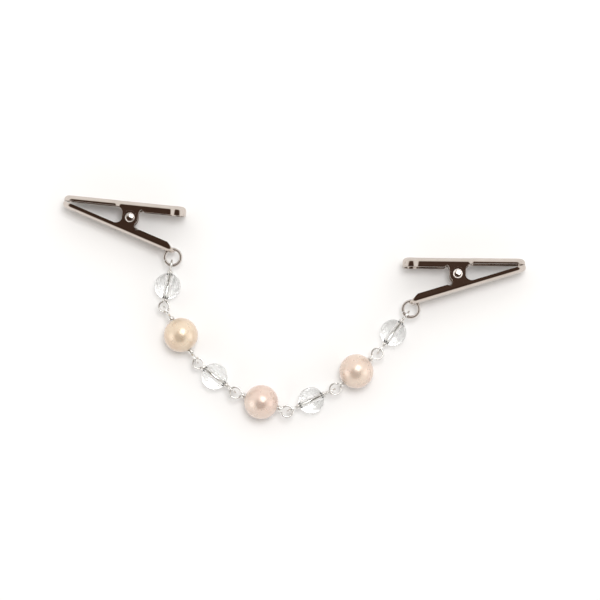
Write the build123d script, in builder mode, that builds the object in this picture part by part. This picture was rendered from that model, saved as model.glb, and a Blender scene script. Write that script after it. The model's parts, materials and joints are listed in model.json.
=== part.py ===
from build123d import *
import os
from math import acos, atan2, cos, degrees, hypot, radians, sin
from typing import NamedTuple

# A beaded sweater clip chain: two small spring clips joined by seven wrapped-wire bead links.
# It lies on its side on the XY plane, with +Z up and the chain hanging in a curve towards -Y.
# The origin is the middle of the bounding box, on the surface it lies on. Millimetres.

os.makedirs("parts", exist_ok=True)

# ---- driving dimensions: the clips ----------------------------------------------------------
SHEET = 0.5  # thickness of the pressed steel
CLIP_WIDTH = 6.0  # over the side flanges
WEB_REACH = 3.75  # pivot to the outer face of a lever's web
LEVER_TILT = 8.7  # how far each web leans on the clip's middle plane, degrees
NOSE_REACH = 15.6  # pivot to the tip of the jaws
TAIL_REACH = 12.75  # pivot to the end of either tail
JAW_DEPTH = 1.33  # side flange of a jaw, web included
THUMB_TAIL_DEPTH = 2.2
RING_TAIL_DEPTH = 2.0
RUN_OUT = 2.6  # the ring lever's flanges taper away over this length
PLAN_CORNER = 2.0  # corner radius of a web seen from outside
BEND = 1.0  # outside radius of the bend between web and flange
EAR_RADIUS = 1.6  # outer ears, round the rivet
INNER_EAR_RADIUS = 1.9  # the thumb lever's ears, inside the outer ones
EAR_FILLET = 1.5
EAR_GAP = 0.05  # between the inner and the outer ears
WAIST_START = 2.6  # the thumb lever is narrow from here, ahead of the pivot
WAIST_END = -9.2  # to here, behind it
WAIST_STEP = 0.95  # length of the slope between wide and narrow
WAIST_FILLET = 1.4
PIVOT_FIT = 0.05  # radial clearance of the thumb lever on the rivet
RIVET_RADIUS = 0.7
RIVET_HEAD_RADIUS = 1.1
RIVET_HEAD = 0.5
SPRING_WIRE = 0.25  # wire radius
SPRING_RADIUS = 1.05  # mean radius of the coil
SPRING_TURNS = 3
SPRING_PITCH = 0.53
SPRING_LEG = 6.0  # along a tail, pivot to the leg's end
LEG_GAP = 0.03  # between a leg and the web it pushes on
RING_HOLE_RADIUS = 0.88
RING_HOLE_REACH = 11.24  # pivot to the ring hole, along the web

# ---- driving dimensions: rings, wires and beads -------------------------------------------
JUMP_RADIUS = 1.87  # mean radius of a jump ring
JUMP_WIRE = 0.38  # wire radius
JUMP_REACH = 12.6  # pivot to the ring's centre, along the web
JUMP_STAND = 4.5  # pivot to the ring's centre, square to the web
JUMP_HEIGHT = 3.7  # above the surface, where a ring lies between its lever and its link
WIRE = 0.25  # link wire radius
WRAP_RADIUS = 0.72  # outside of the wire wrapped round the neck of a loop
BEAD_BORE_GAP = 0.05  # between a wire and the side of the bore that it is nearest to
LOOP_PLAY = 1.3  # flat loop's centre to upright loop's centre
JUMP_PLAY = 1.9  # jump ring's centre to upright loop's centre


class Bead(NamedTuple):
    """One kind of bead and the loops of its wire.

    wire_side is 1 where the bead hangs on its wire, and -1 where the wire lies in the bore.
    """

    radius: float
    bore: float
    loop: float
    neck: float
    wire_side: int

    def reach(self):
        """Distance from the bead's centre to the centre of either loop."""
        return self.radius + self.neck + self.loop + WIRE

    def wire_height(self):
        """Height of the wire when the bead rests on the surface under it."""
        return self.radius + self.wire_side * (self.bore - WIRE - BEAD_BORE_GAP)


class Link(NamedTuple):
    """One bead on its wire: which kind, its heading, and which loops lie flat."""

    kind: str
    number: int
    heading: float
    flat_start: bool
    flat_end: bool


BEADS = {
    "crystal": Bead(radius=3.0, bore=0.55, loop=1.2, neck=0.4, wire_side=1),
    "pearl": Bead(radius=4.0, bore=0.5, loop=1.3, neck=0.8, wire_side=-1),
}
LINKS = (
    Link("crystal", 1, -100, flat_start=False, flat_end=True),
    Link("pearl", 1, -59, flat_start=False, flat_end=False),
    Link("crystal", 2, -38, flat_start=True, flat_end=False),
    Link("pearl", 2, -20, flat_start=True, flat_end=True),
    Link("crystal", 3, 25, flat_start=False, flat_end=False),
    Link("pearl", 3, 40, flat_start=True, flat_end=True),
    Link("crystal", 4, 53, flat_start=False, flat_end=False),
)
CHAIN_START = (-28.179, 11.585)  # centre of the left jump ring
LEFT_HEADING = 165.5  # where the left clip's nose points
RIGHT_HEADING = 8.0
RIGHT_ROLL = -4.0  # the right clip leans on its side

HALF_WIDTH = CLIP_WIDTH / 2
INNER_FACE = HALF_WIDTH - SHEET


def finish(piece, name, place=Location()):
    """Put a finished piece in its place, label it and write its file."""
    piece.part.location = place
    piece.part.label = name
    export_step(piece.part, f"parts/{name}.step")
    return piece.part.bounding_box()


# ---- levers: x runs to the nose, y out to the web, z along the rivet ----------------------


def plan_outline(waisted):
    """A web seen from outside, as one closed face: x along the lever, y across it.

    A waisted lever is drawn in between its jaws and its tail, to pass inside the outer ears.
    """
    wide = HALF_WIDTH
    narrow = INNER_FACE - EAR_GAP
    steps = []
    if waisted:
        steps = [
            (WAIST_START + WAIST_STEP, wide),
            (WAIST_START, narrow),
            (WAIST_END, narrow),
            (WAIST_END - WAIST_STEP, wide),
        ]
    half = [(NOSE_REACH, wide), *steps, (-TAIL_REACH, wide)]
    other_half = [(x, -y) for x, y in reversed(half)]
    with BuildSketch() as plan:
        with BuildLine():
            Polyline(*half, *other_half, close=True)
        make_face()
        ends = plan.vertices().filter_by(lambda v: v.X > NOSE_REACH - 0.01 or v.X < 0.01 - TAIL_REACH)
        fillet(ends, PLAN_CORNER)
        if waisted:
            turns = plan.vertices().filter_by(lambda v: WAIST_END - 1.1 < v.X < WAIST_START + 1.1)
            fillet(turns, WAIST_FILLET)
    return plan.sketch


def rounded_slab(plan, top, bottom, bend):
    """A solid of that plan between two heights, with its upper edges rounded."""
    with BuildPart() as slab:
        with BuildSketch(Plane.XZ.offset(-top)):
            add(plan)
        extrude(amount=top - bottom)
        fillet(slab.faces().sort_by(Axis.Y)[-1].edges(), bend)
    return slab.part


def pressed_blank(depth, waisted):
    """A closed tub of sheet, web outwards, deep enough to hold the flanges and the ears."""
    plan = plan_outline(waisted)
    with BuildSketch() as inside_plan:
        add(plan)
        offset(amount=-SHEET)
    bottom = WEB_REACH - depth
    outside = rounded_slab(plan, WEB_REACH, bottom, BEND)
    inside = rounded_slab(inside_plan.sketch, WEB_REACH - SHEET, bottom - 1, BEND - SHEET)
    with BuildPart() as blank:
        add(outside)
        add(inside, mode=Mode.SUBTRACT)
    return blank.part


def flange_outline(tail_depth, open_tail):
    """Side view of a lever's web and flanges; the flanges run out before an open tail."""
    top = WEB_REACH + SHEET
    jaw_edge = WEB_REACH - JAW_DEPTH
    tail_edge = WEB_REACH - tail_depth
    step_at = EAR_RADIUS + EAR_FILLET
    beyond = SHEET
    tail = [(-TAIL_REACH - beyond, tail_edge)]
    if open_tail:
        tail = [
            (-TAIL_REACH + RUN_OUT, tail_edge),
            (-TAIL_REACH, WEB_REACH - SHEET),
            (-TAIL_REACH - beyond, WEB_REACH - SHEET),
        ]
    with BuildSketch() as outline:
        with BuildLine():
            Polyline(
                (-TAIL_REACH - beyond, top),
                (NOSE_REACH + beyond, top),
                (NOSE_REACH + beyond, jaw_edge),
                (-step_at + 1, jaw_edge),
                (-step_at, tail_edge),
                *tail,
                close=True,
            )
        make_face()
    return outline.sketch


def ear_outline(radius):
    """Side view of an ear: round at the rivet, and spreading with a fillet to the flange."""
    root = WEB_REACH - JAW_DEPTH
    with BuildSketch() as outline:
        Circle(radius)
        with Locations((0, root / 2)):
            Rectangle(2 * radius, root)
        with Locations((0, root + SHEET)):
            Rectangle(2 * (radius + EAR_FILLET) + 1, 2 * SHEET)
        corners = outline.vertices().filter_by(
            lambda v: abs(v.Y - root) < 0.01 and abs(abs(v.X) - radius) < 0.01
        )
        fillet(corners, EAR_FILLET)
    return outline.sketch


def ring_lever():
    """The lever that carries the chain: outer ears, open tail, ring hole."""
    blank = pressed_blank(WEB_REACH + EAR_RADIUS, waisted=False)
    flanges = flange_outline(RING_TAIL_DEPTH, open_tail=True)
    ears = ear_outline(EAR_RADIUS)
    with BuildPart() as lever:
        add(blank)
        with BuildSketch():
            add(flanges)
            add(ears)
        extrude(amount=HALF_WIDTH + 1, both=True, mode=Mode.INTERSECT)
        Cylinder(RIVET_RADIUS, 2 * CLIP_WIDTH, mode=Mode.SUBTRACT)
        with BuildSketch(Plane.XZ.offset(-WEB_REACH - SHEET)):
            with Locations((-RING_HOLE_REACH, 0)):
                Circle(RING_HOLE_RADIUS)
        extrude(amount=3 * SHEET, mode=Mode.SUBTRACT)
    return lever


def thumb_lever():
    """The lever that is pressed to open the jaws: waisted, with inner ears and a closed tail."""
    blank = pressed_blank(WEB_REACH + INNER_EAR_RADIUS, waisted=True)
    flanges = flange_outline(THUMB_TAIL_DEPTH, open_tail=False)
    ears = ear_outline(INNER_EAR_RADIUS)
    with BuildPart() as lever:
        add(blank)
        with BuildSketch():
            add(flanges)
            add(ears)
        extrude(amount=HALF_WIDTH + 1, both=True, mode=Mode.INTERSECT)
        Cylinder(RIVET_RADIUS + PIVOT_FIT, 2 * CLIP_WIDTH, mode=Mode.SUBTRACT)
    return lever


# ---- the rivet and the spring: z along the rivet -------------------------------------------


def rivet():
    """A plain pin with a low dome at each end."""
    with BuildPart() as pin:
        Cylinder(RIVET_RADIUS, CLIP_WIDTH)
        with Locations((0, 0, HALF_WIDTH + RIVET_HEAD / 2), (0, 0, -HALF_WIDTH - RIVET_HEAD / 2)):
            Cylinder(RIVET_HEAD_RADIUS, RIVET_HEAD)
        outer_faces = pin.faces().sort_by(Axis.Z)
        fillet(outer_faces[0].edges() + outer_faces[-1].edges(), RIVET_HEAD * 0.8)
    return pin


def spring():
    """A torsion spring round the rivet, with a leg along the inside of each tail."""
    tilt = radians(LEVER_TILT)
    along = SPRING_LEG
    out = WEB_REACH - SHEET - SPRING_WIRE - LEG_GAP
    end_x = -along * cos(tilt) + out * sin(tilt)
    end_y = along * sin(tilt) + out * cos(tilt)
    leave = degrees(atan2(end_y, end_x) - acos(SPRING_RADIUS / hypot(end_x, end_y)))
    height = SPRING_PITCH * (SPRING_TURNS + 2 * leave / 360)
    half = height / 2
    turn_off = (SPRING_RADIUS * cos(radians(leave)), SPRING_RADIUS * sin(radians(leave)))
    coil_plane = Plane((0, 0, -half), x_dir=(turn_off[0], -turn_off[1], 0), z_dir=(0, 0, 1))
    with BuildPart() as coil:
        with BuildLine(coil_plane) as turns:
            Helix(SPRING_PITCH, height, SPRING_RADIUS)
        with BuildSketch(Plane(turns.line @ 0, z_dir=turns.line % 0)):
            Circle(SPRING_WIRE)
        sweep(path=turns.line, is_frenet=True)
        for side in (1, -1):
            start = (turn_off[0], side * turn_off[1], side * half)
            run = Vector(end_x - turn_off[0], side * (end_y - turn_off[1]), 0)
            with BuildSketch(Plane(start, z_dir=run)):
                Circle(SPRING_WIRE)
            extrude(amount=run.length)
            with Locations(start):
                Sphere(SPRING_WIRE)
    return coil


# ---- rings, wires and beads ------------------------------------------------------------------


def jump_ring():
    """A closed round ring, lying flat."""
    with BuildPart() as ring:
        Torus(JUMP_RADIUS, JUMP_WIRE)
    return ring


def bead_wire(bead, flat_start, flat_end):
    """A straight wire along x through a bead, with a wrapped neck and a loop at each end."""
    with BuildPart() as wire:
        Cylinder(WIRE, 2 * (bead.reach() - bead.loop), rotation=(0, 90, 0))
        for side, flat in ((-1, flat_start), (1, flat_end)):
            with Locations((side * (bead.radius + bead.neck / 2), 0, 0)):
                Cylinder(WRAP_RADIUS, bead.neck, rotation=(0, 90, 0))
            with Locations((side * bead.reach(), 0, 0)):
                Torus(bead.loop, WIRE, rotation=(0, 0, 0) if flat else (90, 0, 0))
    return wire


def drilled_bead(bead):
    """A round bead with a straight bore along x."""
    with BuildPart() as ball:
        Sphere(bead.radius)
        Cylinder(bead.bore, 3 * bead.radius, rotation=(0, 90, 0), mode=Mode.SUBTRACT)
    return ball


# ---- the chain, laid out link by link from the left jump ring ------------------------------


def step(start, heading, length):
    """The point that lies length away from start along heading, in the plan."""
    return (
        start[0] + length * cos(radians(heading)),
        start[1] + length * sin(radians(heading)),
    )


def write_chain():
    """Write every link, and return the places that the joints need."""
    places = {"hinges": [CHAIN_START], "beads": [], "boxes": []}
    joint = CHAIN_START
    for link in LINKS:
        bead = BEADS[link.kind]
        play_in = JUMP_PLAY if link is LINKS[0] else LOOP_PLAY
        play_out = JUMP_PLAY if link is LINKS[-1] else LOOP_PLAY
        first_loop = joint if link.flat_start else step(joint, link.heading, play_in)
        centre = step(first_loop, link.heading, bead.reach())
        last_loop = step(centre, link.heading, bead.reach())
        joint = last_loop if link.flat_end else step(last_loop, link.heading, play_out)

        turn = (0, 0, link.heading)
        bead_name = f"pearl_{link.number}" if link.kind == "pearl" else f"crystal_bead_{link.number}"
        wire_place = Location((*centre, bead.wire_height()), turn)
        bead_place = Location((*centre, bead.radius), turn)
        wire = bead_wire(bead, link.flat_start, link.flat_end)
        places["boxes"].append(finish(wire, f"{link.kind}_wire_{link.number}", wire_place))
        places["boxes"].append(finish(drilled_bead(bead), bead_name, bead_place))
        places["beads"].append((centre, bead.radius, link.heading))
        places["hinges"].append(joint)
    return places


def write_clip(side, ring_centre, heading, turned_over, roll):
    """Write one clip's pieces, standing off its jump ring, and return its pivot's place."""
    ring_at_tail = Vector(-JUMP_REACH, -JUMP_STAND).rotate(Axis.Z, LEVER_TILT)
    turn_over = Rot(180 if turned_over else 0, 0, 0)
    lean = Rot(0, 0, heading) * Rot(roll, 0, 0) * turn_over
    ring_offset = (lean * Pos(*ring_at_tail)).position
    pivot = Vector(*ring_centre, 0) - Vector(ring_offset.X, ring_offset.Y, 0)
    lowest = 0
    shapes = {
        f"{side}_ring_lever": (ring_lever(), Rot(0, 0, LEVER_TILT) * Rot(180, 0, 0)),
        f"{side}_thumb_lever": (thumb_lever(), Rot(0, 0, -LEVER_TILT)),
        f"{side}_rivet": (rivet(), Location()),
        f"{side}_spring": (spring(), Location()),
    }
    for shape, own in shapes.values():
        shape.part.location = lean * own
        lowest = min(lowest, shape.part.bounding_box().min.Z)
    stand = Pos(pivot.X, pivot.Y, -lowest) * lean
    boxes = [finish(shape, name, stand * own) for name, (shape, own) in shapes.items()]
    middle = (stand * Pos(*ring_at_tail)).position
    ring_place = Location((*ring_centre, JUMP_HEIGHT))
    boxes.append(finish(jump_ring(), f"{side}_jump_ring", ring_place))
    return {"stand": stand, "ring": middle, "boxes": boxes}


chain = write_chain()
left = write_clip("left", chain["hinges"][0], LEFT_HEADING, turned_over=True, roll=0)
right = write_clip("right", chain["hinges"][-1], RIGHT_HEADING, turned_over=False, roll=RIGHT_ROLL)

if __name__ == "__main__":
    boxes = chain["boxes"] + left["boxes"] + right["boxes"]
    low = [min(getattr(b.min, axis) for b in boxes) for axis in "XYZ"]
    high = [max(getattr(b.max, axis) for b in boxes) for axis in "XYZ"]
    middle = [(a + b) / 2 for a, b in zip(low, high)]
    print("size", [round(b - a, 2) for a, b in zip(low, high)], "middle", middle, "low", low)
    print("left ring", left["ring"], "right ring", right["ring"])
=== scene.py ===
"""Looks for a beaded sweater clip chain: two spring clips joined by seven bead links.

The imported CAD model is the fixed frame. Each sub-assembly below is a class that takes its place
from the frame's joints, builds its meshes there and dresses them. Everything is in metres.
"""

import json
import logging
import math
from dataclasses import dataclass, field
from enum import Enum

import bmesh
import bpy
from mathutils import Matrix, Vector, noise
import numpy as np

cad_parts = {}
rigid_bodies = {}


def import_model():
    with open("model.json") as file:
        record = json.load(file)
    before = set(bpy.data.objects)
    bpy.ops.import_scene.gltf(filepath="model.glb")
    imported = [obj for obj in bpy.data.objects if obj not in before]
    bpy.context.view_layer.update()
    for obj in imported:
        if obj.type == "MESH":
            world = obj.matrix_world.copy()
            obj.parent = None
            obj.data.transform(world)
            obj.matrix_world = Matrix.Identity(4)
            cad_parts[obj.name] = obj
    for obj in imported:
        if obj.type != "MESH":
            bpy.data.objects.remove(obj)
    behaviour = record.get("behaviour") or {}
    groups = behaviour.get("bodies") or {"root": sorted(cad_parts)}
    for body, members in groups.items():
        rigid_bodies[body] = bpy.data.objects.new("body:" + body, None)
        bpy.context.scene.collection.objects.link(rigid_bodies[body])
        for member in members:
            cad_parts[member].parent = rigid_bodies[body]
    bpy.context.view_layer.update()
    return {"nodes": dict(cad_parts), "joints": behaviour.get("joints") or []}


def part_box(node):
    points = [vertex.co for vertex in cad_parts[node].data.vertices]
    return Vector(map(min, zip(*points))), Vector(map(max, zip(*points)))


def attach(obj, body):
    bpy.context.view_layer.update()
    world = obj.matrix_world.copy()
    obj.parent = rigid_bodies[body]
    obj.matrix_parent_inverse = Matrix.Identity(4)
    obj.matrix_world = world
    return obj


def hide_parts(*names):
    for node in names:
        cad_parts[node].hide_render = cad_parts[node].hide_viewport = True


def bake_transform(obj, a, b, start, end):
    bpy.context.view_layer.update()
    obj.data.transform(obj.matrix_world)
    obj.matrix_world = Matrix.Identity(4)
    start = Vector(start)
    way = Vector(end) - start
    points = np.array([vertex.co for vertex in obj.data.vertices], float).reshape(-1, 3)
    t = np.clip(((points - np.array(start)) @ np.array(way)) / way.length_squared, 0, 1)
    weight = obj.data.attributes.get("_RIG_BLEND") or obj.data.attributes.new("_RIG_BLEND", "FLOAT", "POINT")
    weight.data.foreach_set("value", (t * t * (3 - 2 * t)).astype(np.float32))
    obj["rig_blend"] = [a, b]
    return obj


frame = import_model()

log = logging.getLogger("clip_chain")

Point = tuple[float, float, float]
Color = tuple[float, float, float, float]
Outline = list[tuple[float, float]]

MM = 0.001
UP = Vector((0, 0, 1))
WIRE_SIDES = 20  # faces round a wire
WIRE_SPACING = 0.5  # from ring to ring along a wire, in wire radii
BEAD_SIDES = 128
RIVET_SIDES = 48
MERGE_REACH = 1e-8  # vertices nearer than this become one
NOISE_LOW = 0.3  # nearly all of a noise texture's values lie between these two
NOISE_HIGH = 0.7
FINE_SHARE = 0.15  # of the fine noise in a handled surface's height
MIX_COLOR_A = 6  # the Mix node's colour sockets share their names, so they go by number
MIX_COLOR_B = 7
MIX_COLOR_OUT = 2


class LoopWay(Enum):
    """How the loop at a wire's end is turned."""

    FLAT = "flat"
    UPRIGHT = "upright"


class BeadKind(Enum):
    """The two kinds of bead on the chain."""

    CRYSTAL = "crystal"
    PEARL = "pearl"


# ---- small helpers --------------------------------------------------------------------------


def joint_named(name: str) -> dict:
    """The frame's joint of that name."""
    return next(j for j in frame["joints"] if j["name"] == name)


def axes_matrix(x: Vector, z: Vector, origin: Vector) -> Matrix:
    """A placing matrix from two axes and an origin.

    Args:
        x: where the local x axis points, once it is made square to z.
        z: where the local z axis points.
        origin: the local origin, in the part's frame.

    Returns:
        A 4 by 4 matrix from local coordinates to the part's frame.
    """
    z = z.normalized()
    x = (x - z * x.dot(z)).normalized()
    y = z.cross(x)
    place = Matrix((x, y, z)).transposed().to_4x4()
    place.translation = origin
    return place


def new_object(name: str, mesh: bpy.types.Mesh) -> bpy.types.Object:
    """Link a new object that shows a mesh to the scene.

    Args:
        name: the object's name.
        mesh: what it shows.

    Returns:
        The object.
    """
    piece = bpy.data.objects.new(name, mesh)
    bpy.context.scene.collection.objects.link(piece)
    return piece


def mesh_from(name: str, verts: list, edges: list, faces: list) -> bpy.types.Mesh:
    """Make a mesh from lists.

    Args:
        name: the mesh's name.
        verts: where its vertices are.
        edges: pairs of vertex numbers, for a mesh without faces.
        faces: rings of vertex numbers.

    Returns:
        The mesh.
    """
    mesh = bpy.data.meshes.new(name)
    mesh.from_pydata(verts, edges, faces)
    mesh.update()
    return mesh


def smooth_shaded(mesh: bpy.types.Mesh) -> None:
    """Shade every face of mesh smooth."""
    mesh.polygons.foreach_set("use_smooth", [True] * len(mesh.polygons))


def outward(mesh: bpy.types.Mesh) -> None:
    """Merge doubled vertices and turn every face outwards.

    Args:
        mesh: the closed mesh to put right.
    """
    work = bmesh.new()
    work.from_mesh(mesh)
    bmesh.ops.remove_doubles(work, verts=work.verts, dist=MERGE_REACH)
    bmesh.ops.recalc_face_normals(work, faces=work.faces)
    work.to_mesh(mesh)
    work.free()


def lathed(name: str, profile: Outline, sides: int) -> bpy.types.Mesh:
    """Turn a closed profile about the x axis.

    Args:
        name: the mesh's name.
        profile: (x, radius) pairs, the last joined to the first.
        sides: how many steps round.

    Returns:
        A closed mesh.
    """
    verts = []
    for k in range(sides):
        angle = math.tau * k / sides
        verts += [(x, r * math.cos(angle), r * math.sin(angle)) for x, r in profile]
    count = len(profile)
    faces = []
    for k in range(sides):
        here = k * count
        there = (k + 1) % sides * count
        for i in range(count):
            j = (i + 1) % count
            faces.append((here + i, here + j, there + j, there + i))
    return mesh_from(name, verts, [], faces)


# ---- shader groups: effects that several finishes share -------------------------------------


class GroupMaker:
    """Builds one shader node group with named sockets."""

    def __init__(self, name: str) -> None:
        """Start an empty group.

        Args:
            name: the group's name.
        """
        self.tree = bpy.data.node_groups.new(name, "ShaderNodeTree")
        self.inner_in = self.tree.nodes.new("NodeGroupInput")
        self.inner_out = self.tree.nodes.new("NodeGroupOutput")

    def takes(self, name: str, kind: str, value: float | Color) -> None:
        """Add an input socket of that kind with a default value."""
        made = self.tree.interface.new_socket(name, in_out="INPUT", socket_type=kind)
        made.default_value = value

    def gives(self, name: str, kind: str) -> None:
        """Add an output socket of that kind."""
        self.tree.interface.new_socket(name, in_out="OUTPUT", socket_type=kind)

    def node(self, kind: str, **settings: str) -> bpy.types.Node:
        """Add a node to the group.

        Args:
            kind: the node's type.
            **settings: its properties and their values.

        Returns:
            The node.
        """
        made = self.tree.nodes.new(kind)
        for key, value in settings.items():
            setattr(made, key, value)
        return made

    def link(self, source: bpy.types.NodeSocket, target: bpy.types.NodeSocket) -> None:
        """Join two sockets."""
        self.tree.links.new(source, target)

    def noise(self, scale: str, detail: float) -> bpy.types.NodeSocket:
        """Add a noise texture on object coordinates.

        Args:
            scale: the group's input that sets the noise's scale.
            detail: how many finer layers it has.

        Returns:
            The socket that gives its value.
        """
        coords = self.node("ShaderNodeTexCoord")
        texture = self.node("ShaderNodeTexNoise")
        texture.inputs["Detail"].default_value = detail
        self.link(coords.outputs["Object"], texture.inputs["Vector"])
        self.link(self.inner_in.outputs[scale], texture.inputs["Scale"])
        return texture.outputs["Fac"]

    def spread(self, value: bpy.types.NodeSocket, low: str, high: str) -> bpy.types.NodeSocket:
        """Map a noise value to the range between two of the group's inputs.

        Args:
            value: the socket that gives the noise.
            low: the input that sets the range's start.
            high: the input that sets its end.

        Returns:
            The socket that gives the result.
        """
        ramp = self.node("ShaderNodeMapRange")
        ramp.inputs["From Min"].default_value = NOISE_LOW
        ramp.inputs["From Max"].default_value = NOISE_HIGH
        self.link(value, ramp.inputs["Value"])
        self.link(self.inner_in.outputs[low], ramp.inputs["To Min"])
        self.link(self.inner_in.outputs[high], ramp.inputs["To Max"])
        return ramp.outputs["Result"]


def build_handling_group() -> bpy.types.NodeTree:
    """Uneven gloss and faint waviness of a handled, polished surface.

    Returns:
        The group: Roughness and Height outputs from two scales, a low and a high roughness.
    """
    maker = GroupMaker("handled_surface")
    maker.takes("Scale", "NodeSocketFloat", 400.0)
    maker.takes("Fine scale", "NodeSocketFloat", 4000.0)
    maker.takes("Gloss low", "NodeSocketFloat", 0.08)
    maker.takes("Gloss high", "NodeSocketFloat", 0.2)
    maker.gives("Roughness", "NodeSocketFloat")
    maker.gives("Height", "NodeSocketFloat")
    broad = maker.noise("Scale", detail=4.0)
    fine = maker.noise("Fine scale", detail=2.0)
    maker.link(maker.spread(broad, "Gloss low", "Gloss high"), maker.inner_out.inputs["Roughness"])
    height = maker.node("ShaderNodeMath", operation="MULTIPLY_ADD")
    height.inputs[1].default_value = FINE_SHARE
    maker.link(fine, height.inputs[0])
    maker.link(broad, height.inputs[2])
    maker.link(height.outputs["Value"], maker.inner_out.inputs["Height"])
    return maker.tree


def build_clouding_group() -> bpy.types.NodeTree:
    """Two colours clouded into each other over the surface.

    Returns:
        The group: a Color output from a scale and two colours.
    """
    maker = GroupMaker("clouded_colour")
    maker.takes("Scale", "NodeSocketFloat", 200.0)
    maker.takes("Color A", "NodeSocketColor", (1.0, 1.0, 1.0, 1.0))
    maker.takes("Color B", "NodeSocketColor", (0.8, 0.8, 0.8, 1.0))
    maker.takes("Low", "NodeSocketFloat", 0.0)
    maker.takes("High", "NodeSocketFloat", 1.0)
    maker.gives("Color", "NodeSocketColor")
    cloud = maker.noise("Scale", detail=3.0)
    mix = maker.node("ShaderNodeMix", data_type="RGBA")
    maker.link(maker.spread(cloud, "Low", "High"), mix.inputs["Factor"])
    maker.link(maker.inner_in.outputs["Color A"], mix.inputs[MIX_COLOR_A])
    maker.link(maker.inner_in.outputs["Color B"], mix.inputs[MIX_COLOR_B])
    maker.link(mix.outputs[MIX_COLOR_OUT], maker.inner_out.inputs["Color"])
    return maker.tree


@dataclass
class SharedEffects:
    """The shader groups, built once."""

    handling: bpy.types.NodeTree = field(default_factory=build_handling_group)
    clouding: bpy.types.NodeTree = field(default_factory=build_clouding_group)


# ---- finishes -------------------------------------------------------------------------------


@dataclass(frozen=True)
class Wear:
    """How uneven a surface is: its gloss range, and the waviness in its normals."""

    gloss_low: float
    gloss_high: float
    height: float
    scale: float = 350.0
    fine_scale: float = 5000.0
    bump: float = 0.6


class MaterialMaker:
    """Builds one material round its Principled shader."""

    def __init__(self, name: str) -> None:
        """Start a material with a plain shader.

        Args:
            name: the material's name.
        """
        self.made = bpy.data.materials.new(name)
        self.made.use_nodes = True
        self.nodes = self.made.node_tree.nodes
        self.links = self.made.node_tree.links
        self.shader = self.nodes["Principled BSDF"]

    def plain(self, values: dict[str, float | tuple]) -> None:
        """Set the shader's own sockets, by their names."""
        for socket, value in values.items():
            self.shader.inputs[socket].default_value = value

    def effect(self, tree: bpy.types.NodeTree, values: dict[str, float | Color]) -> bpy.types.Node:
        """Place a shared effect in the material.

        Args:
            tree: the effect's group.
            values: its inputs' names and values.

        Returns:
            The placed group.
        """
        placed = self.nodes.new("ShaderNodeGroup")
        placed.node_tree = tree
        for socket, value in values.items():
            placed.inputs[socket].default_value = value
        return placed

    def cloud(self, effects: SharedEffects, scale: float, first: Color, second: Color) -> None:
        """Cloud two colours into the base colour.

        Args:
            effects: the shared groups.
            scale: the clouds' scale, per metre.
            first: one colour.
            second: the other.
        """
        values = {"Scale": scale, "Color A": first, "Color B": second}
        placed = self.effect(effects.clouding, values)
        self.links.new(placed.outputs["Color"], self.shader.inputs["Base Color"])

    def handle(self, effects: SharedEffects, wear: Wear) -> None:
        """Give the surface its uneven gloss and its waviness.

        Args:
            effects: the shared groups.
            wear: how strong and how fine they are.
        """
        placed = self.effect(effects.handling, {
            "Scale": wear.scale,
            "Fine scale": wear.fine_scale,
            "Gloss low": wear.gloss_low,
            "Gloss high": wear.gloss_high,
        })
        self.links.new(placed.outputs["Roughness"], self.shader.inputs["Roughness"])
        bump = self.nodes.new("ShaderNodeBump")
        bump.inputs["Strength"].default_value = wear.bump
        bump.inputs["Distance"].default_value = wear.height
        self.links.new(placed.outputs["Height"], bump.inputs["Height"])
        self.links.new(bump.outputs["Normal"], self.shader.inputs["Normal"])


@dataclass(frozen=True)
class PlatedFinish:
    """Bright plated or polished metal, faintly uneven."""

    name: str
    light: Color
    dark: Color
    wear: Wear
    cloud_scale: float = 260.0

    def material(self, effects: SharedEffects) -> bpy.types.Material:
        """The finish as a material, with the shared effects placed in it.

        Args:
            effects: the shared groups.

        Returns:
            The material.
        """
        maker = MaterialMaker(self.name)
        maker.plain({"Metallic": 1.0})
        maker.cloud(effects, self.cloud_scale, self.light, self.dark)
        maker.handle(effects, self.wear)
        return maker.made


@dataclass(frozen=True)
class CrystalFinish:
    """Clear rock crystal, polished, with faint veils."""

    name: str = "clear_crystal"
    tint: Color = (0.90, 0.90, 0.895, 1.0)
    veil: Color = (0.80, 0.80, 0.79, 1.0)
    veil_scale: float = 500.0
    refraction: float = 1.5
    shine_through: float = 0.35
    wear: Wear = Wear(
        gloss_low=0.0, gloss_high=0.035, height=0.01 * MM, scale=300.0, fine_scale=2500.0, bump=0.3
    )

    def material(self, effects: SharedEffects) -> bpy.types.Material:
        """The finish as a material, with the shared effects placed in it.

        Args:
            effects: the shared groups.

        Returns:
            The material.
        """
        maker = MaterialMaker(self.name)
        maker.plain({"Transmission Weight": 1.0, "IOR": self.refraction})
        self.pass_light(maker)
        maker.cloud(effects, self.veil_scale, self.tint, self.veil)
        maker.handle(effects, self.wear)
        return maker.made

    def pass_light(self, maker: MaterialMaker) -> None:
        """Let lamps shine through on to the floor, where a clear bead throws no dark shadow.

        Args:
            maker: the material's maker.
        """
        path = maker.nodes.new("ShaderNodeLightPath")
        clear = maker.nodes.new("ShaderNodeBsdfTransparent")
        share = maker.nodes.new("ShaderNodeMath")
        share.operation = "MULTIPLY"
        share.inputs[1].default_value = self.shine_through
        mix = maker.nodes.new("ShaderNodeMixShader")
        maker.links.new(path.outputs["Is Shadow Ray"], share.inputs[0])
        maker.links.new(share.outputs["Value"], mix.inputs["Fac"])
        maker.links.new(maker.shader.outputs["BSDF"], mix.inputs[1])
        maker.links.new(clear.outputs["BSDF"], mix.inputs[2])
        maker.links.new(mix.outputs["Shader"], maker.nodes["Material Output"].inputs["Surface"])


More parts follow.
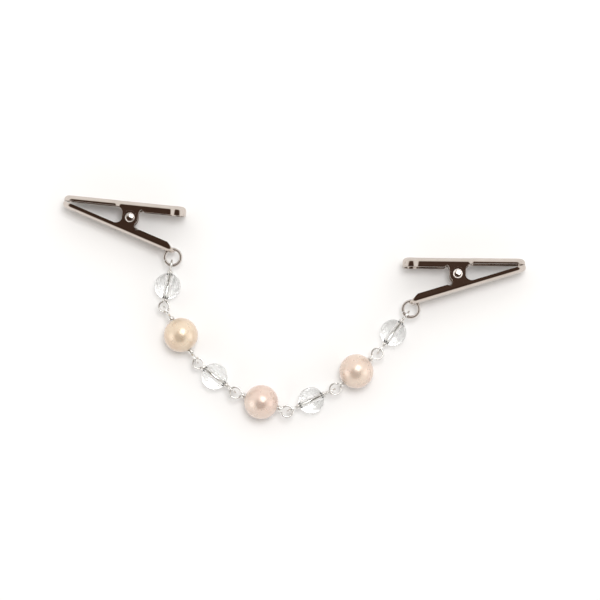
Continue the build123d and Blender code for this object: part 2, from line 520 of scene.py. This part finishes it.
@dataclass(frozen=True)
class NacreFinish:
    """A cultured pearl's nacre: clouded cream and rose under a deep gloss."""

    name: str
    body: Color
    blush: Color
    cloud_scale: float = 140.0
    metallic: float = 0.4
    specular: float = 0.8
    glow: float = 0.15
    glow_spread: Point = (1.0, 0.7, 0.55)
    glow_depth: float = 0.8 * MM
    coat: float = 0.9
    coat_roughness: float = 0.16
    coat_refraction: float = 1.6
    coat_tint: Color = (1.0, 0.93, 0.9, 1.0)
    wear: Wear = Wear(
        gloss_low=0.24, gloss_high=0.34, height=0.02 * MM, scale=420.0, fine_scale=2200.0, bump=0.1
    )

    def material(self, effects: SharedEffects) -> bpy.types.Material:
        """The finish as a material, with the shared effects placed in it.

        Args:
            effects: the shared groups.

        Returns:
            The material.
        """
        maker = MaterialMaker(self.name)
        maker.cloud(effects, self.cloud_scale, self.body, self.blush)
        maker.plain({
            "Metallic": self.metallic,
            "Specular IOR Level": self.specular,
            "Subsurface Weight": self.glow,
            "Subsurface Radius": self.glow_spread,
            "Subsurface Scale": self.glow_depth,
            "Coat Weight": self.coat,
            "Coat Roughness": self.coat_roughness,
            "Coat IOR": self.coat_refraction,
            "Coat Tint": self.coat_tint,
        })
        maker.handle(effects, self.wear)
        return maker.made


@dataclass(frozen=True)
class FloorFinish:
    """Plain pale paper under the object."""

    name: str = "pale_floor"
    color: Color = (0.95, 0.95, 0.95, 1.0)
    roughness: float = 0.9
    specular: float = 0.1

    def material(self) -> bpy.types.Material:
        """The finish as a material.

        Returns:
            The material.
        """
        maker = MaterialMaker(self.name)
        maker.plain({
            "Base Color": self.color,
            "Roughness": self.roughness,
            "Specular IOR Level": self.specular,
        })
        return maker.made


# ---- geometry nodes: sweeping a wire along a path --------------------------------------------


class WireSweep:
    """A geometry node tree that turns a line of edges into round wire."""

    def __init__(self) -> None:
        """Build the tree with its named inputs."""
        self.tree = bpy.data.node_groups.new("wire_sweep", "GeometryNodeTree")
        face = self.tree.interface
        for name, kind in (
            ("Path", "NodeSocketGeometry"),
            ("Wire radius", "NodeSocketFloat"),
            ("Sides", "NodeSocketInt"),
            ("Spacing", "NodeSocketFloat"),
            ("Finish", "NodeSocketMaterial"),
        ):
            face.new_socket(name, in_out="INPUT", socket_type=kind)
        face.new_socket("Wire", in_out="OUTPUT", socket_type="NodeSocketGeometry")
        self.add_nodes()

    def add_nodes(self) -> None:
        """Add the nodes: curve, even spacing, sweep, smooth shading and finish."""
        add = self.tree.nodes.new
        link = self.tree.links.new
        given = add("NodeGroupInput")
        result = add("NodeGroupOutput")
        curve = add("GeometryNodeMeshToCurve")
        spline = add("GeometryNodeCurveSplineType")
        spline.spline_type = "CATMULL_ROM"
        finer = add("GeometryNodeResampleCurve")
        finer.mode = "LENGTH"
        profile = add("GeometryNodeCurvePrimitiveCircle")
        sweep = add("GeometryNodeCurveToMesh")
        sweep.inputs["Fill Caps"].default_value = True
        shade = add("GeometryNodeSetShadeSmooth")
        real = add("GeometryNodeRealizeInstances")
        dress = add("GeometryNodeSetMaterial")
        link(given.outputs["Path"], curve.inputs["Mesh"])
        link(curve.outputs["Curve"], spline.inputs["Curve"])
        link(spline.outputs["Curve"], finer.inputs["Curve"])
        link(given.outputs["Spacing"], finer.inputs["Length"])
        link(given.outputs["Sides"], profile.inputs["Resolution"])
        link(given.outputs["Wire radius"], profile.inputs["Radius"])
        link(finer.outputs["Curve"], sweep.inputs["Curve"])
        link(profile.outputs["Curve"], sweep.inputs["Profile Curve"])
        link(sweep.outputs["Mesh"], shade.inputs["Geometry"])
        link(shade.outputs["Geometry"], real.inputs["Geometry"])
        link(real.outputs["Geometry"], dress.inputs["Geometry"])
        link(given.outputs["Finish"], dress.inputs["Material"])
        link(dress.outputs["Geometry"], result.inputs["Wire"])

    def socket(self, name: str) -> str:
        """The identifier of the input called name."""
        items = self.tree.interface.items_tree
        return next(i.identifier for i in items if i.name == name and i.in_out == "INPUT")

    def run(
        self, name: str, points: list[Vector], radius: float, finish: bpy.types.Material
    ) -> bpy.types.Object:
        """Sweep a wire along points.

        Args:
            name: the new object's name.
            points: the wire's centre line, in the part's frame.
            radius: the wire's radius.
            finish: its material.

        Returns:
            An object with a plain mesh and no modifier.
        """
        edges = [(i, i + 1) for i in range(len(points) - 1)]
        carrier = new_object(name, mesh_from(f"{name}_path", points, edges, []))
        sweep = carrier.modifiers.new("sweep", "NODES")
        sweep.node_group = self.tree
        sweep[self.socket("Wire radius")] = radius
        sweep[self.socket("Sides")] = WIRE_SIDES
        sweep[self.socket("Spacing")] = radius * WIRE_SPACING
        sweep[self.socket("Finish")] = finish
        graph = bpy.context.evaluated_depsgraph_get()
        solid = bpy.data.meshes.new_from_object(carrier.evaluated_get(graph))
        carrier.modifiers.clear()
        carrier.data = solid
        carrier.data.name = name
        if not solid.materials:
            solid.materials.append(finish)
        outward(solid)
        return carrier


# ---- sub-assemblies -------------------------------------------------------------------------


@dataclass
class Kit:
    """What every sub-assembly needs: the sweep and the finished materials."""

    sweep: WireSweep
    nickel: bpy.types.Material
    rivet: bpy.types.Material
    spring: bpy.types.Material
    silver: bpy.types.Material
    crystal: bpy.types.Material
    pearls: list[bpy.types.Material]


@dataclass(frozen=True)
class BeadSizes:
    """One kind of bead, and the loops and necks of its wire."""

    radius: float
    bore: float
    loop: float
    neck: float


BEAD_SIZES = {
    BeadKind.CRYSTAL: BeadSizes(radius=3.0 * MM, bore=0.55 * MM, loop=1.2 * MM, neck=0.4 * MM),
    BeadKind.PEARL: BeadSizes(radius=4.0 * MM, bore=0.5 * MM, loop=1.3 * MM, neck=0.8 * MM),
}


@dataclass
class BeadLink:
    """One bead on its wire, with a wrapped loop at each end."""

    kind: BeadKind
    number: int
    start: LoopWay
    end: LoopWay
    body: str
    kit: Kit
    wire_radius: float = 0.25 * MM
    straight_steps: int = 12
    straight_end: float = 0.05 * MM  # short of the neck's end
    loop_steps: int = 26
    loop_enter: float = math.radians(158)
    loop_leave: float = math.radians(-150)
    loop_level: float = 0.35  # share of the loop that lies below its plane
    loop_rise: float = 1.1  # over the whole loop, in wire radii
    wrap_steps: int = 18  # to a turn
    wrap_from: float = math.radians(-60)
    wrap_reach: float = 2.05  # centre line of the wrap, in wire radii
    wrap_pitch: float = 2.1  # from turn to turn, in wire radii
    wrap_start: float = 0.3  # short of the neck's end, in wire radii
    wrap_end: float = 0.75  # clear of the bead, in wire radii
    last_turns: tuple[float, float] = (1.9, 0.4)  # past whole turns, start and end, radians
    bead_steps: int = 96
    bore_steps: int = 16
    mouth_edge: float = 0.12 * MM
    mouth_steps: int = 3
    mouth_flare: float = 0.6
    mouth_gap: float = 0.02  # between the mouth's rim and the bore, radians
    dip_depth: float = 0.022  # of a pearl's radius
    dip_scale: float = 1.3
    dip_seed: Point = (7.3, 1.9, 4.1)
    dip_from: float = 0.97  # of the radius: vertices nearer the centre belong to the bore

    def __post_init__(self) -> None:
        """Take the link's place and sizes from the frame and the kind of bead."""
        self.pearl = self.kind is BeadKind.PEARL
        self.bead_name = f"pearl_{self.number}" if self.pearl else f"crystal_bead_{self.number}"
        self.wire_name = f"{self.kind.value}_wire_{self.number}"
        self.sizes = BEAD_SIZES[self.kind]
        spin = joint_named(f"{self.bead_name}_spin")
        centre = Vector(spin["pos_m"])
        along = Vector(spin["axis"])
        low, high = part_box(self.wire_name)
        wire_centre = Vector((centre.x, centre.y, (low[2] + high[2]) / 2))
        self.wire_place = axes_matrix(along, UP, wire_centre)
        self.bead_place = axes_matrix(along, UP, centre)

    def loop_spots(self) -> list[Point]:
        """The wire's way round its loop.

        Returns:
            Distances along the wire, across the loop and off its plane.
        """
        sizes = self.sizes
        reach = sizes.radius + sizes.neck + sizes.loop + self.wire_radius
        spots = []
        for k in range(self.loop_steps + 1):
            share = k / self.loop_steps
            angle = self.loop_enter + (self.loop_leave - self.loop_enter) * share
            off = self.wire_radius * (share - self.loop_level) * self.loop_rise
            across = sizes.loop * math.sin(angle)
            spots.append((reach + sizes.loop * math.cos(angle), across, off))
        return spots

    def wrap_spots(self, turn: float) -> list[Point]:
        """The wire's way round its own neck, down to the bead.

        Args:
            turn: how far past whole turns the wrap ends, radians.

        Returns:
            Distances along the wire, across the loop and off its plane.
        """
        radius = self.wire_radius
        wrap = self.wrap_reach * radius
        turns = max(1.0, self.sizes.neck / (self.wrap_pitch * radius)) + turn / math.tau
        steps = int(turns * self.wrap_steps)
        first = self.sizes.radius + self.sizes.neck - radius * self.wrap_start
        last = self.sizes.radius + radius * self.wrap_end
        spots = []
        for k in range(steps + 1):
            share = k / steps
            angle = self.wrap_from + math.tau * turns * share
            along = first + (last - first) * share
            spots.append((along, wrap * math.sin(angle), wrap * math.cos(angle)))
        return spots

    def half_path(self, way: LoopWay, turn: float) -> list[Vector]:
        """The wire from the bead's middle out round one loop and back onto its neck.

        Args:
            way: how the loop is turned.
            turn: how far past whole turns the wrap ends, radians.

        Returns:
            Points with x outwards, in the link's own frame.
        """
        neck_end = self.sizes.radius + self.sizes.neck
        steps = self.straight_steps
        spots = [(neck_end * k / steps, 0.0, 0.0) for k in range(steps)]
        spots.append((neck_end - self.straight_end, 0.0, 0.0))
        spots += self.loop_spots() + self.wrap_spots(turn)
        if way is LoopWay.FLAT:
            return [Vector(spot) for spot in spots]
        return [Vector((along, off, across)) for along, across, off in spots]

    def build_wire(self) -> None:
        """Build the wire as one continuous sweep and dress it."""
        back = self.half_path(self.start, self.last_turns[0])
        out = self.half_path(self.end, self.last_turns[1])
        turned = [Vector((-p.x, -p.y, p.z)) for p in reversed(back[1:])]
        path = [self.wire_place @ p for p in turned + out]
        wire = self.kit.sweep.run(
            f"{self.wire_name}_wound", path, self.wire_radius, self.kit.silver
        )
        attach(wire, self.body)
        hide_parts(self.wire_name)

    def bead_profile(self) -> Outline:
        """Half outline of the drilled bead.

        Returns:
            (distance along the bore, radius) pairs.
        """
        radius, bore, edge = self.sizes.radius, self.sizes.bore, self.mouth_edge
        wide = math.asin(bore / radius) + self.mouth_gap
        outline = []
        for k in range(self.bead_steps + 1):
            angle = wide + (math.pi - 2 * wide) * k / self.bead_steps
            outline.append((-radius * math.cos(angle), radius * math.sin(angle)))
        mouth = outline[-1][0]
        for k in range(1, self.mouth_steps + 1):
            share = k / self.mouth_steps * math.pi / 2
            flare = edge * (1 - math.sin(share)) * self.mouth_flare
            outline.append((mouth - edge * (1 - math.cos(share)), bore + flare))
        far_mouth = [(-x, r) for x, r in reversed(outline[-self.mouth_steps:])]
        end = mouth - edge
        steps = self.bore_steps
        inside = [(end - 2 * end * k / steps, bore) for k in range(1, steps)]
        return outline + inside + far_mouth

    def unround(self, mesh: bpy.types.Mesh) -> None:
        """Draw a pearl very slightly out of round, never past its true radius.

        Args:
            mesh: the pearl, round its own centre.
        """
        across, along, base = self.dip_seed
        seed = Vector((self.number * across, self.number * along, base))
        inner = self.sizes.radius * self.dip_from
        for vertex in mesh.vertices:
            if vertex.co.length < inner:
                continue
            dip = 0.5 + 0.5 * noise.noise(vertex.co.normalized() * self.dip_scale + seed)
            vertex.co *= 1 - self.dip_depth * max(0.0, min(1.0, dip))

    def build_bead(self) -> None:
        """Build the bead with its bore and dress it."""
        mesh = lathed(self.bead_name, self.bead_profile(), BEAD_SIDES)
        if self.pearl:
            self.unround(mesh)
        mesh.transform(self.bead_place)
        outward(mesh)
        smooth_shaded(mesh)
        piece = new_object(f"{self.bead_name}_drilled", mesh)
        finish = self.kit.pearls[self.number - 1] if self.pearl else self.kit.crystal
        mesh.materials.append(finish)
        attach(piece, self.bead_name)
        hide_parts(self.bead_name)

    def build(self) -> None:
        """Build and dress the whole link."""
        self.build_wire()
        self.build_bead()
        log.info("link %s %d built", self.kind.value, self.number)


@dataclass
class SpringClip:
    """One clip: two pressed levers on a rivet, the spring between them and the jump ring."""

    side: str
    kit: Kit
    lever_tilt: float = math.radians(8.7)
    ring_reach: float = 12.6 * MM
    ring_stand: float = 4.5 * MM
    edge_round: float = 0.09 * MM
    edge_segments: int = 3
    edge_angle: float = math.radians(40)  # sharper turns than this are rounded
    flat_angle: float = math.radians(0.6)  # flatter ones are merged into one face
    double_reach: float = 0.0002 * MM
    spring_wire: float = 0.25 * MM
    coil_radius: float = 1.05 * MM
    coil_pitch: float = 0.53 * MM
    coil_turns: int = 3
    coil_steps: int = 36  # to a turn
    leg_reach: float = 6.0 * MM
    leg_stand: float = 2.97 * MM
    leg_steps: int = 10
    blend_at: float = -2.0 * MM  # where the spring bends: behind the pivot
    blend_half: float = 1.5 * MM
    jump_radius: float = 1.87 * MM
    jump_wire: float = 0.38 * MM
    jump_steps: int = 96
    cut_at: float = math.radians(200)
    cut_half: float = math.radians(1.6)
    half_width: float = 3.0 * MM
    shank_radius: float = 0.7 * MM
    head_radius: float = 1.1 * MM
    head_height: float = 0.5 * MM
    head_foot: float = 0.96  # of the head's radius, where it meets the lever
    head_steps: int = 12
    dome_drop: float = 0.13 * MM
    dome_share: float = 0.8  # of the head's radius
    roll_share: float = 0.1  # radius of the rolled rim, of the head's radius
    roll_sink: float = 0.6  # the rim's centre below the dome's edge, of the rim's radius
    roll_arc: float = math.radians(210)

    def __post_init__(self) -> None:
        """Find the clip's own frame from its jaw hinge and its jump ring."""
        hinge = joint_named(f"{self.side}_jaw_hinge")
        ring = joint_named(f"{self.side}_clip_swing")
        pivot = Vector(hinge["pos_m"])
        rivet_way = Vector(hinge["axis"])
        self.ring_centre = Vector(ring["pos_m"])
        self.clip_body = f"{self.side}_clip_body"
        own_ring = Vector((-self.ring_reach, -self.ring_stand, 0))
        own_ring.rotate(Matrix.Rotation(self.lever_tilt, 3, "Z"))
        to_ring = self.ring_centre - pivot
        to_ring -= rivet_way * to_ring.dot(rivet_way)
        turn = math.atan2(own_ring.y, own_ring.x)
        nose_way = Matrix.Rotation(-turn, 3, rivet_way) @ to_ring
        self.place = axes_matrix(nose_way, rivet_way, pivot)
        self.rivet_place = axes_matrix(rivet_way, self.place.col[0].to_3d(), pivot)

    def soften(
        self, node: str, name: str, body: str, finish: bpy.types.Material
    ) -> None:
        """Copy a pressed CAD node, merge its faces and round its sheared edges.

        Args:
            node: the CAD node to stand for.
            name: the new piece's name.
            body: the body it rides on.
            finish: its material.
        """
        mesh = frame["nodes"][node].data.copy()
        mesh.name = name
        mesh.materials.clear()
        mesh.materials.append(finish)
        for layer in [a.name for a in mesh.attributes if a.name in ("custom_normal", "sharp_edge")]:
            mesh.attributes.remove(mesh.attributes[layer])
        work = bmesh.new()
        work.from_mesh(mesh)
        bmesh.ops.remove_doubles(work, verts=work.verts, dist=self.double_reach)
        bmesh.ops.dissolve_limit(
            work, angle_limit=self.flat_angle, verts=work.verts, edges=work.edges
        )
        work.to_mesh(mesh)
        work.free()
        piece = new_object(name, mesh)
        round_edges = piece.modifiers.new("round_edges", "BEVEL")
        round_edges.width = self.edge_round
        round_edges.segments = self.edge_segments
        round_edges.limit_method = "ANGLE"
        round_edges.angle_limit = self.edge_angle
        weigh = piece.modifiers.new("even_shading", "WEIGHTED_NORMAL")
        weigh.keep_sharp = True
        smooth_shaded(mesh)
        graph = bpy.context.evaluated_depsgraph_get()
        solid = bpy.data.meshes.new_from_object(piece.evaluated_get(graph))
        piece.modifiers.clear()
        piece.data = solid
        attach(piece, body)
        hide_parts(node)

    def build_levers(self) -> None:
        """Build both levers from their CAD nodes."""
        thumb = f"{self.side}_thumb_lever"
        ring = f"{self.side}_ring_lever"
        self.soften(thumb, f"{thumb}_pressed", thumb, self.kit.nickel)
        self.soften(ring, f"{ring}_pressed", self.clip_body, self.kit.nickel)

    def rivet_profile(self) -> Outline:
        """Half outline of the rivet: a low dome inside a rolled rim at each end of the shank.

        Returns:
            (distance along the rivet, radius) pairs.
        """
        head = self.head_radius
        rim = []
        for k in range(self.head_steps + 1):
            share = k / self.head_steps
            dome = self.head_height - self.dome_drop * share ** 2
            rim.append((self.half_width + dome, head * self.dome_share * share))
        roll = head * self.roll_share
        roll_height = self.head_height - self.dome_drop - roll * self.roll_sink
        for k in range(1, self.head_steps + 1):
            angle = math.pi - self.roll_arc * k / self.head_steps
            rise = self.half_width + roll_height + roll * math.sin(angle)
            rim.append((rise, head - roll + roll * math.cos(angle)))
        rim.append((self.half_width, head * self.head_foot))
        rim.append((self.half_width, self.shank_radius))
        return [(-x, r) for x, r in rim] + rim[::-1]

    def build_rivet(self) -> None:
        """Build the rivet and dress it."""
        mesh = lathed(f"{self.side}_rivet_headed", self.rivet_profile(), RIVET_SIDES)
        mesh.transform(self.rivet_place)
        outward(mesh)
        smooth_shaded(mesh)
        mesh.materials.append(self.kit.rivet)
        piece = new_object(f"{self.side}_rivet_headed", mesh)
        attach(piece, self.clip_body)
        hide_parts(f"{self.side}_rivet")

    def spring_path(self) -> list[Vector]:
        """The spring's centre line: leg, coil and leg.

        Returns:
            Points in the clip's own frame.
        """
        lean, rise = math.sin(self.lever_tilt), math.cos(self.lever_tilt)
        end_x = -self.leg_reach * rise + self.leg_stand * lean
        end_y = self.leg_reach * lean + self.leg_stand * rise
        leave = math.atan2(end_y, end_x) - math.acos(self.coil_radius / math.hypot(end_x, end_y))
        turns = self.coil_turns + leave / math.pi
        height = self.coil_pitch * turns
        steps = int(turns * self.coil_steps)
        coil = []
        for k in range(steps + 1):
            angle = -leave + math.tau * turns * k / steps
            across = self.coil_radius * math.cos(angle)
            out = self.coil_radius * math.sin(angle)
            coil.append(Vector((across, out, -height / 2 + height * k / steps)))
        first = Vector((end_x, -end_y, -height / 2))
        last = Vector((end_x, end_y, height / 2))
        leg_in = [first.lerp(coil[0], k / self.leg_steps) for k in range(self.leg_steps)]
        leg_out = [coil[-1].lerp(last, (k + 1) / self.leg_steps) for k in range(self.leg_steps)]
        return leg_in + coil + leg_out

    def build_spring(self) -> None:
        """Build the torsion spring, which bends between the two levers."""
        path = [self.place @ p for p in self.spring_path()]
        spring = self.kit.sweep.run(
            f"{self.side}_spring_coil", path, self.spring_wire, self.kit.spring
        )
        low = self.place @ Vector((self.blend_at, -self.blend_half, 0))
        high = self.place @ Vector((self.blend_at, self.blend_half, 0))
        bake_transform(spring, self.clip_body, f"{self.side}_thumb_lever", start=tuple(low), end=tuple(high))
        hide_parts(f"{self.side}_spring")

    def build_ring(self) -> None:
        """Build the jump ring with its butted cut."""
        arc = math.tau - 2 * self.cut_half
        points = []
        for k in range(self.jump_steps + 1):
            angle = self.cut_at + self.cut_half + arc * k / self.jump_steps
            way = Vector((math.cos(angle), math.sin(angle), 0))
            points.append(self.ring_centre + way * self.jump_radius)
        ring = self.kit.sweep.run(
            f"{self.side}_jump_ring_cut", points, self.jump_wire, self.kit.rivet
        )
        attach(ring, f"{self.side}_jump_ring")
        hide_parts(f"{self.side}_jump_ring")

    def build(self) -> None:
        """Build and dress the whole clip."""
        self.build_levers()
        self.build_rivet()
        self.build_spring()
        self.build_ring()
        log.info("%s clip built", self.side)


# ---- the studio -----------------------------------------------------------------------------


@dataclass(frozen=True)
class Lamp:
    """A soft square lamp that looks at the object."""

    name: str
    place: Point
    size: float
    power: float

    def add(self) -> bpy.types.Object:
        """Put the lamp in the scene.

        Returns:
            The lamp's object.
        """
        light = bpy.data.lights.new(self.name, "AREA")
        light.shape = "SQUARE"
        light.size = self.size
        light.energy = self.power
        holder = bpy.data.objects.new(self.name, light)
        holder.location = self.place
        holder.rotation_euler = (-Vector(self.place)).to_track_quat("-Z", "Y").to_euler()
        bpy.context.scene.collection.objects.link(holder)
        return holder


SKY_STOPS = (  # colours of the room, by the cosine of the angle from its dark part
    (0.0, (0.95, 0.94, 0.92, 1)),
    (0.5, (0.93, 0.92, 0.90, 1)),
    (0.73, (0.88, 0.86, 0.83, 1)),
    (0.81, (0.5, 0.45, 0.40, 1)),
    (0.865, (0.08, 0.05, 0.037, 1)),
    (1.0, (0.05, 0.028, 0.019, 1)),
)
GLEAMING = ("_drilled", "_wound", "_headed")  # ends of the names of beads, wires and rivets


@dataclass
class Studio:
    """Floor, sky, lamps and camera."""

    floor_reach: float = 3.0
    sky_strength: float = 1.14
    dark_way: Point = (-0.08, -0.25, 0.96)  # where the dark part of the room is
    room_lamp: Lamp = Lamp("lamp_main", (0.12, 0.24, 1.15), 0.42, 6.3)
    gleams: tuple[Lamp, ...] = (
        Lamp("gleam_main", (0.16, 0.3, 0.84), 0.56, 2.9),
        Lamp("gleam_left", (-0.58, -0.12, 0.24), 0.36, 0.3),
        Lamp("gleam_right", (0.58, -0.08, 0.24), 0.36, 0.25),
    )
    camera_height: float = 0.9
    camera_elevation: float = math.radians(88.5)
    view_width: float = 0.1388
    sensor_width: float = 36.0  # millimetres, as the camera has it
    nearest: float = 0.01
    farthest: float = 20.0
    aim: Point = (0.00128, 0.00171, 0.0035)

    def build_floor(self) -> None:
        """A wide plain floor just under the object."""
        r = self.floor_reach
        verts = [(-r, -r, 0), (r, -r, 0), (r, r, 0), (-r, r, 0)]
        mesh = mesh_from("floor", verts, [], [(0, 1, 2, 3)])
        mesh.materials.append(FloorFinish().material())
        floor = new_object("floor", mesh)

    def build_sky(self) -> None:
        """Pale surroundings with a dark patch overhead, which polished metal shows."""
        world = bpy.data.worlds.new("studio")
        bpy.context.scene.world = world
        world.use_nodes = True
        nodes = world.node_tree.nodes
        links = world.node_tree.links
        back = nodes["Background"]
        back.inputs["Strength"].default_value = self.sky_strength
        coords = nodes.new("ShaderNodeTexCoord")
        toward = nodes.new("ShaderNodeVectorMath")
        toward.operation = "DOT_PRODUCT"
        toward.inputs[1].default_value = Vector(self.dark_way).normalized()
        ramp = nodes.new("ShaderNodeValToRGB")
        links.new(coords.outputs["Generated"], toward.inputs[0])
        links.new(toward.outputs["Value"], ramp.inputs["Fac"])
        links.new(ramp.outputs["Color"], back.inputs["Color"])
        stops = ramp.color_ramp.elements
        stops[0].position, stops[0].color = SKY_STOPS[0]
        stops[1].position, stops[1].color = SKY_STOPS[-1]
        for where, color in SKY_STOPS[1:-1]:
            stops.new(where).color = color

    def build_lamps(self) -> None:
        """One large soft lamp for the room, and gleams that only the gleaming pieces show."""
        room = self.room_lamp.add()
        room.visible_glossy = False
        shiny = bpy.data.collections.new("gleaming_pieces")
        for piece in [o for o in bpy.data.objects if o.name.endswith(GLEAMING)]:
            shiny.objects.link(piece)
        for lamp in self.gleams:
            gleam = lamp.add()
            gleam.light_linking.receiver_collection = shiny
            gleam.data.use_shadow = False

    def build_camera(self) -> None:
        """A long lens, straight above but for a touch."""
        data = bpy.data.cameras.new("camera")
        data.sensor_width = self.sensor_width
        data.lens = self.sensor_width * self.camera_height / self.view_width
        data.clip_start = self.nearest
        data.clip_end = self.farthest
        camera = bpy.data.objects.new("camera", data)
        tilt = self.camera_elevation
        way = Vector((0.0, -math.cos(tilt), math.sin(tilt)))
        camera.location = Vector(self.aim) + way * self.camera_height
        camera.rotation_euler = (-way).to_track_quat("-Z", "Y").to_euler()
        bpy.context.scene.collection.objects.link(camera)
        bpy.context.scene.camera = camera

    def set_display(self) -> None:
        """Show tones as they are, with no film curve."""
        settings = bpy.context.scene.view_settings
        settings.view_transform = "Standard"
        settings.look = "None"

    def build(self) -> None:
        """Set up the whole studio."""
        self.build_floor()
        self.build_sky()
        self.build_lamps()
        self.build_camera()
        self.set_display()
        log.info("studio built")


# ---- the whole chain --------------------------------------------------------------------------


def make_kit() -> Kit:
    """Build the shared effects, the finishes and the sweep.
    """
    effects = SharedEffects()
    nickel = PlatedFinish(
        "plated_nickel",
        light=(0.64, 0.575, 0.53, 1),
        dark=(0.57, 0.51, 0.465, 1),
        wear=Wear(gloss_low=0.05, gloss_high=0.11, height=0.03 * MM),
    )
    rivet = PlatedFinish(
        "rivet_nickel",
        light=(0.70, 0.655, 0.62, 1),
        dark=(0.60, 0.56, 0.53, 1),
        wear=Wear(gloss_low=0.08, gloss_high=0.14, height=0.02 * MM),
    )
    spring = PlatedFinish(
        "spring_steel",
        light=(0.62, 0.60, 0.58, 1),
        dark=(0.50, 0.48, 0.46, 1),
        wear=Wear(gloss_low=0.18, gloss_high=0.3, height=0.01 * MM),
    )
    silver = PlatedFinish(
        "silver_wire",
        light=(0.83, 0.82, 0.80, 1),
        dark=(0.72, 0.71, 0.69, 1),
        wear=Wear(gloss_low=0.06, gloss_high=0.14, height=0.01 * MM),
    )
    pearls = (
        NacreFinish("nacre_cream", body=(0.68, 0.60, 0.465, 1), blush=(0.61, 0.50, 0.38, 1)),
        NacreFinish("nacre_rose", body=(0.69, 0.61, 0.54, 1), blush=(0.58, 0.44, 0.385, 1)),
        NacreFinish("nacre_ivory", body=(0.71, 0.65, 0.55, 1), blush=(0.60, 0.48, 0.42, 1)),
    )
    return Kit(
        sweep=WireSweep(),
        nickel=nickel.material(effects),
        rivet=rivet.material(effects),
        spring=spring.material(effects),
        silver=silver.material(effects),
        crystal=CrystalFinish().material(effects),
        pearls=[pearl.material(effects) for pearl in pearls],
    )


def main() -> None:
    """Build the links, the clips and the studio round them, in that order."""
    logging.basicConfig(level=logging.INFO, format="%(name)s: %(message)s")
    kit = make_kit()
    flat, upright = LoopWay.FLAT, LoopWay.UPRIGHT
    crystal, pearl = BeadKind.CRYSTAL, BeadKind.PEARL
    links = (
        BeadLink(crystal, 1, upright, flat, "crystal_link_1", kit),
        BeadLink(pearl, 1, upright, upright, "pearl_link_1", kit),
        BeadLink(crystal, 2, flat, upright, "crystal_link_2", kit),
        BeadLink(pearl, 2, flat, flat, "centre_link", kit),
        BeadLink(crystal, 3, upright, upright, "crystal_link_3", kit),
        BeadLink(pearl, 3, flat, flat, "pearl_link_3", kit),
        BeadLink(crystal, 4, upright, upright, "crystal_link_4", kit),
    )
    for link in links:
        link.build()
    for side in ("left", "right"):
        SpringClip(side, kit).build()
    Studio().build()


if __name__ == "__main__":
    main()
